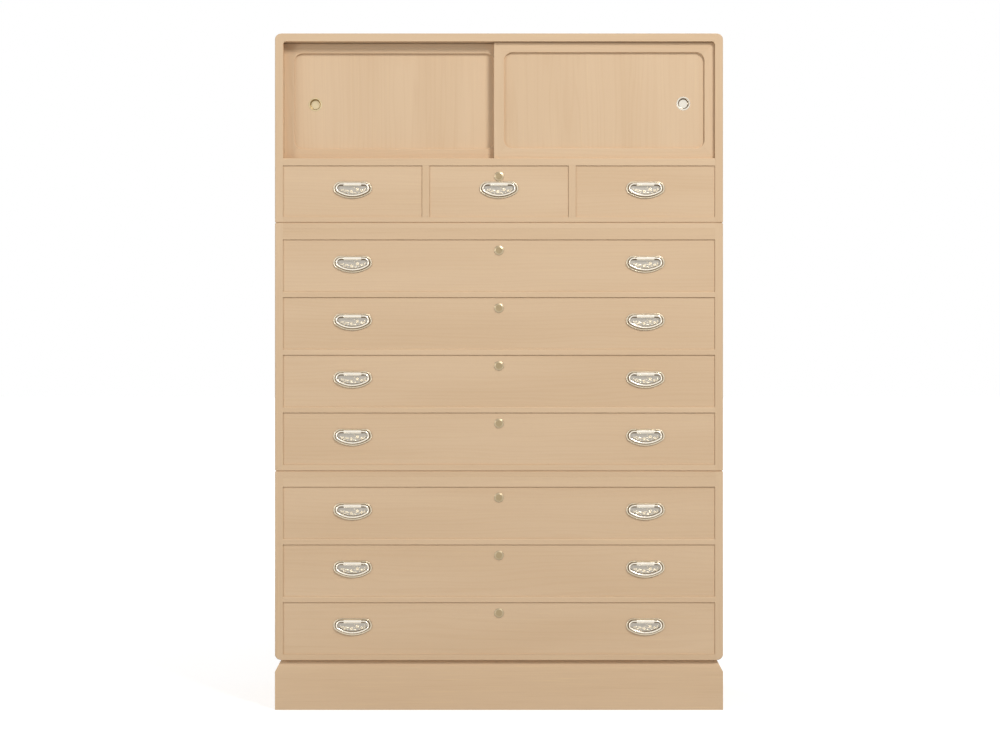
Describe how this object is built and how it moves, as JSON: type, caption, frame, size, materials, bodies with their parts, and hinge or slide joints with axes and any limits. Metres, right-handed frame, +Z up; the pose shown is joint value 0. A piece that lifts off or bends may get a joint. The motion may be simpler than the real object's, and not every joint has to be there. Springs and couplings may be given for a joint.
{
  "type": "clothing chest",
  "caption": "Tall stacked clothing chest on a plinth: sliding doors over small drawers, wide drawers below, with drop handles and covered keyholes.",
  "frame": {"origin": "on the floor, under the centre of the footprint, with the handles' projection counted in", "axes": "+Z up, front faces -Y, +X to the right as seen from the front"},
  "size_m": [1.06, 0.4572, 1.6],
  "materials": {
    "paulownia": "satin, tan toned paulownia",
    "nickel_fittings": "bright nickel plate",
    "key_covers": "satin nickel plate"
  },
  "bodies": {
    "root": {"plinth": "paulownia", "lower_case_shell": "paulownia", "lower_case_back": "paulownia", "lower_case_partitions": "paulownia", "middle_case_shell": "paulownia", "middle_case_back": "paulownia", "middle_case_partitions": "paulownia", "upper_case_shell": "paulownia", "upper_case_back": "paulownia", "upper_case_partitions": "paulownia"},
    "right_door": {"right_door": "paulownia", "right_door_pull": "nickel_fittings"},
    "left_door": {"left_door": "paulownia", "left_door_pull": "nickel_fittings"},
    "small_left_drawer": {"small_left_drawer_box": "paulownia", "small_left_drawer_hardware": "nickel_fittings"},
    "small_left_drawer_bail": {"small_left_drawer_bail": "nickel_fittings"},
    "small_middle_drawer": {"small_middle_drawer_box": "paulownia", "small_middle_drawer_hardware": "nickel_fittings"},
    "small_middle_drawer_bail": {"small_middle_drawer_bail": "nickel_fittings"},
    "small_middle_drawer_key_cover": {"small_middle_drawer_key_cover": "key_covers"},
    "small_right_drawer": {"small_right_drawer_box": "paulownia", "small_right_drawer_hardware": "nickel_fittings"},
    "small_right_drawer_bail": {"small_right_drawer_bail": "nickel_fittings"},
    "drawer_1": {"drawer_1_box": "paulownia", "drawer_1_hardware": "nickel_fittings"},
    "drawer_1_left_bail": {"drawer_1_left_bail": "nickel_fittings"},
    "drawer_1_right_bail": {"drawer_1_right_bail": "nickel_fittings"},
    "drawer_1_key_cover": {"drawer_1_key_cover": "key_covers"},
    "drawer_2": {"drawer_2_box": "paulownia", "drawer_2_hardware": "nickel_fittings"},
    "drawer_2_left_bail": {"drawer_2_left_bail": "nickel_fittings"},
    "drawer_2_right_bail": {"drawer_2_right_bail": "nickel_fittings"},
    "drawer_2_key_cover": {"drawer_2_key_cover": "key_covers"},
    "drawer_3": {"drawer_3_box": "paulownia", "drawer_3_hardware": "nickel_fittings"},
    "drawer_3_left_bail": {"drawer_3_left_bail": "nickel_fittings"},
    "drawer_3_right_bail": {"drawer_3_right_bail": "nickel_fittings"},
    "drawer_3_key_cover": {"drawer_3_key_cover": "key_covers"},
    "drawer_4": {"drawer_4_box": "paulownia", "drawer_4_hardware": "nickel_fittings"},
    "drawer_4_left_bail": {"drawer_4_left_bail": "nickel_fittings"},
    "drawer_4_right_bail": {"drawer_4_right_bail": "nickel_fittings"},
    "drawer_4_key_cover": {"drawer_4_key_cover": "key_covers"},
    "drawer_5": {"drawer_5_box": "paulownia", "drawer_5_hardware": "nickel_fittings"},
    "drawer_5_left_bail": {"drawer_5_left_bail": "nickel_fittings"},
    "drawer_5_right_bail": {"drawer_5_right_bail": "nickel_fittings"},
    "drawer_5_key_cover": {"drawer_5_key_cover": "key_covers"},
    "drawer_6": {"drawer_6_box": "paulownia", "drawer_6_hardware": "nickel_fittings"},
    "drawer_6_left_bail": {"drawer_6_left_bail": "nickel_fittings"},
    "drawer_6_right_bail": {"drawer_6_right_bail": "nickel_fittings"},
    "drawer_6_key_cover": {"drawer_6_key_cover": "key_covers"},
    "drawer_7": {"drawer_7_box": "paulownia", "drawer_7_hardware": "nickel_fittings"},
    "drawer_7_left_bail": {"drawer_7_left_bail": "nickel_fittings"},
    "drawer_7_right_bail": {"drawer_7_right_bail": "nickel_fittings"},
    "drawer_7_key_cover": {"drawer_7_key_cover": "key_covers"}
  },
  "joints": [
    {"name": "right_door_slide", "type": "slide", "parent": "root", "child": "right_door", "axis": [-1, 0, 0], "range_m": [0, 0.4989]},
    {"name": "left_door_slide", "type": "slide", "parent": "root", "child": "left_door", "axis": [1, 0, 0], "range_m": [0, 0.4989]},
    {"name": "small_left_drawer_slide", "type": "slide", "parent": "root", "child": "small_left_drawer", "axis": [0, -1, 0], "range_m": [0, 0.36]},
    {"name": "small_left_drawer_bail_hinge", "type": "hinge", "parent": "small_left_drawer", "child": "small_left_drawer_bail", "pos_m": [-0.34633, -0.22455, 1.244], "axis": [-1, 0, 0], "range_deg": [0, 170]},
    {"name": "small_middle_drawer_slide", "type": "slide", "parent": "root", "child": "small_middle_drawer", "axis": [0, -1, 0], "range_m": [0, 0.36]},
    {"name": "small_middle_drawer_bail_hinge", "type": "hinge", "parent": "small_middle_drawer", "child": "small_middle_drawer_bail", "pos_m": [0, -0.22455, 1.244], "axis": [-1, 0, 0], "range_deg": [0, 170]},
    {"name": "small_middle_drawer_key_cover_hinge", "type": "hinge", "parent": "small_middle_drawer", "child": "small_middle_drawer_key_cover", "pos_m": [0, -0.21895, 1.2702], "axis": [0, 1, 0], "range_deg": [-120, 120]},
    {"name": "small_right_drawer_slide", "type": "slide", "parent": "root", "child": "small_right_drawer", "axis": [0, -1, 0], "range_m": [0, 0.36]},
    {"name": "small_right_drawer_bail_hinge", "type": "hinge", "parent": "small_right_drawer", "child": "small_right_drawer_bail", "pos_m": [0.34633, -0.22455, 1.244], "axis": [-1, 0, 0], "range_deg": [0, 170]},
    {"name": "drawer_1_slide", "type": "slide", "parent": "root", "child": "drawer_1", "axis": [0, -1, 0], "range_m": [0, 0.36]},
    {"name": "drawer_1_left_bail_hinge", "type": "hinge", "parent": "drawer_1", "child": "drawer_1_left_bail", "pos_m": [-0.3463, -0.22455, 1.06825], "axis": [-1, 0, 0], "range_deg": [0, 170]},
    {"name": "drawer_1_right_bail_hinge", "type": "hinge", "parent": "drawer_1", "child": "drawer_1_right_bail", "pos_m": [0.3463, -0.22455, 1.06825], "axis": [-1, 0, 0], "range_deg": [0, 170]},
    {"name": "drawer_1_key_cover_hinge", "type": "hinge", "parent": "drawer_1", "child": "drawer_1_key_cover", "pos_m": [0, -0.21895, 1.0952], "axis": [0, 1, 0], "range_deg": [-120, 120]},
    {"name": "drawer_2_slide", "type": "slide", "parent": "root", "child": "drawer_2", "axis": [0, -1, 0], "range_m": [0, 0.36]},
    {"name": "drawer_2_left_bail_hinge", "type": "hinge", "parent": "drawer_2", "child": "drawer_2_left_bail", "pos_m": [-0.3463, -0.22455, 0.93175], "axis": [-1, 0, 0], "range_deg": [0, 170]},
    {"name": "drawer_2_right_bail_hinge", "type": "hinge", "parent": "drawer_2", "child": "drawer_2_right_bail", "pos_m": [0.3463, -0.22455, 0.93175], "axis": [-1, 0, 0], "range_deg": [0, 170]},
    {"name": "drawer_2_key_cover_hinge", "type": "hinge", "parent": "drawer_2", "child": "drawer_2_key_cover", "pos_m": [0, -0.21895, 0.9587], "axis": [0, 1, 0], "range_deg": [-120, 120]},
    {"name": "drawer_3_slide", "type": "slide", "parent": "root", "child": "drawer_3", "axis": [0, -1, 0], "range_m": [0, 0.36]},
    {"name": "drawer_3_left_bail_hinge", "type": "hinge", "parent": "drawer_3", "child": "drawer_3_left_bail", "pos_m": [-0.3463, -0.22455, 0.79525], "axis": [-1, 0, 0], "range_deg": [0, 170]},
    {"name": "drawer_3_right_bail_hinge", "type": "hinge", "parent": "drawer_3", "child": "drawer_3_right_bail", "pos_m": [0.3463, -0.22455, 0.79525], "axis": [-1, 0, 0], "range_deg": [0, 170]},
    {"name": "drawer_3_key_cover_hinge", "type": "hinge", "parent": "drawer_3", "child": "drawer_3_key_cover", "pos_m": [0, -0.21895, 0.8222], "axis": [0, 1, 0], "range_deg": [-120, 120]},
    {"name": "drawer_4_slide", "type": "slide", "parent": "root", "child": "drawer_4", "axis": [0, -1, 0], "range_m": [0, 0.36]},
    {"name": "drawer_4_left_bail_hinge", "type": "hinge", "parent": "drawer_4", "child": "drawer_4_left_bail", "pos_m": [-0.3463, -0.22455, 0.65875], "axis": [-1, 0, 0], "range_deg": [0, 170]},
    {"name": "drawer_4_right_bail_hinge", "type": "hinge", "parent": "drawer_4", "child": "drawer_4_right_bail", "pos_m": [0.3463, -0.22455, 0.65875], "axis": [-1, 0, 0], "range_deg": [0, 170]},
    {"name": "drawer_4_key_cover_hinge", "type": "hinge", "parent": "drawer_4", "child": "drawer_4_key_cover", "pos_m": [0, -0.21895, 0.6857], "axis": [0, 1, 0], "range_deg": [-120, 120]},
    {"name": "drawer_5_slide", "type": "slide", "parent": "root", "child": "drawer_5", "axis": [0, -1, 0], "range_m": [0, 0.36]},
    {"name": "drawer_5_left_bail_hinge", "type": "hinge", "parent": "drawer_5", "child": "drawer_5_left_bail", "pos_m": [-0.3463, -0.22455, 0.48325], "axis": [-1, 0, 0], "range_deg": [0, 170]},
    {"name": "drawer_5_right_bail_hinge", "type": "hinge", "parent": "drawer_5", "child": "drawer_5_right_bail", "pos_m": [0.3463, -0.22455, 0.48325], "axis": [-1, 0, 0], "range_deg": [0, 170]},
    {"name": "drawer_5_key_cover_hinge", "type": "hinge", "parent": "drawer_5", "child": "drawer_5_key_cover", "pos_m": [0, -0.21895, 0.5102], "axis": [0, 1, 0], "range_deg": [-120, 120]},
    {"name": "drawer_6_slide", "type": "slide", "parent": "root", "child": "drawer_6", "axis": [0, -1, 0], "range_m": [0, 0.36]},
    {"name": "drawer_6_left_bail_hinge", "type": "hinge", "parent": "drawer_6", "child": "drawer_6_left_bail", "pos_m": [-0.3463, -0.22455, 0.34675], "axis": [-1, 0, 0], "range_deg": [0, 170]},
    {"name": "drawer_6_right_bail_hinge", "type": "hinge", "parent": "drawer_6", "child": "drawer_6_right_bail", "pos_m": [0.3463, -0.22455, 0.34675], "axis": [-1, 0, 0], "range_deg": [0, 170]},
    {"name": "drawer_6_key_cover_hinge", "type": "hinge", "parent": "drawer_6", "child": "drawer_6_key_cover", "pos_m": [0, -0.21895, 0.3737], "axis": [0, 1, 0], "range_deg": [-120, 120]},
    {"name": "drawer_7_slide", "type": "slide", "parent": "root", "child": "drawer_7", "axis": [0, -1, 0], "range_m": [0, 0.36]},
    {"name": "drawer_7_left_bail_hinge", "type": "hinge", "parent": "drawer_7", "child": "drawer_7_left_bail", "pos_m": [-0.3463, -0.22455, 0.21025], "axis": [-1, 0, 0], "range_deg": [0, 170]},
    {"name": "drawer_7_right_bail_hinge", "type": "hinge", "parent": "drawer_7", "child": "drawer_7_right_bail", "pos_m": [0.3463, -0.22455, 0.21025], "axis": [-1, 0, 0], "range_deg": [0, 170]},
    {"name": "drawer_7_key_cover_hinge", "type": "hinge", "parent": "drawer_7", "child": "drawer_7_key_cover", "pos_m": [0, -0.21895, 0.2372], "axis": [0, 1, 0], "range_deg": [-120, 120]}
  ]
}
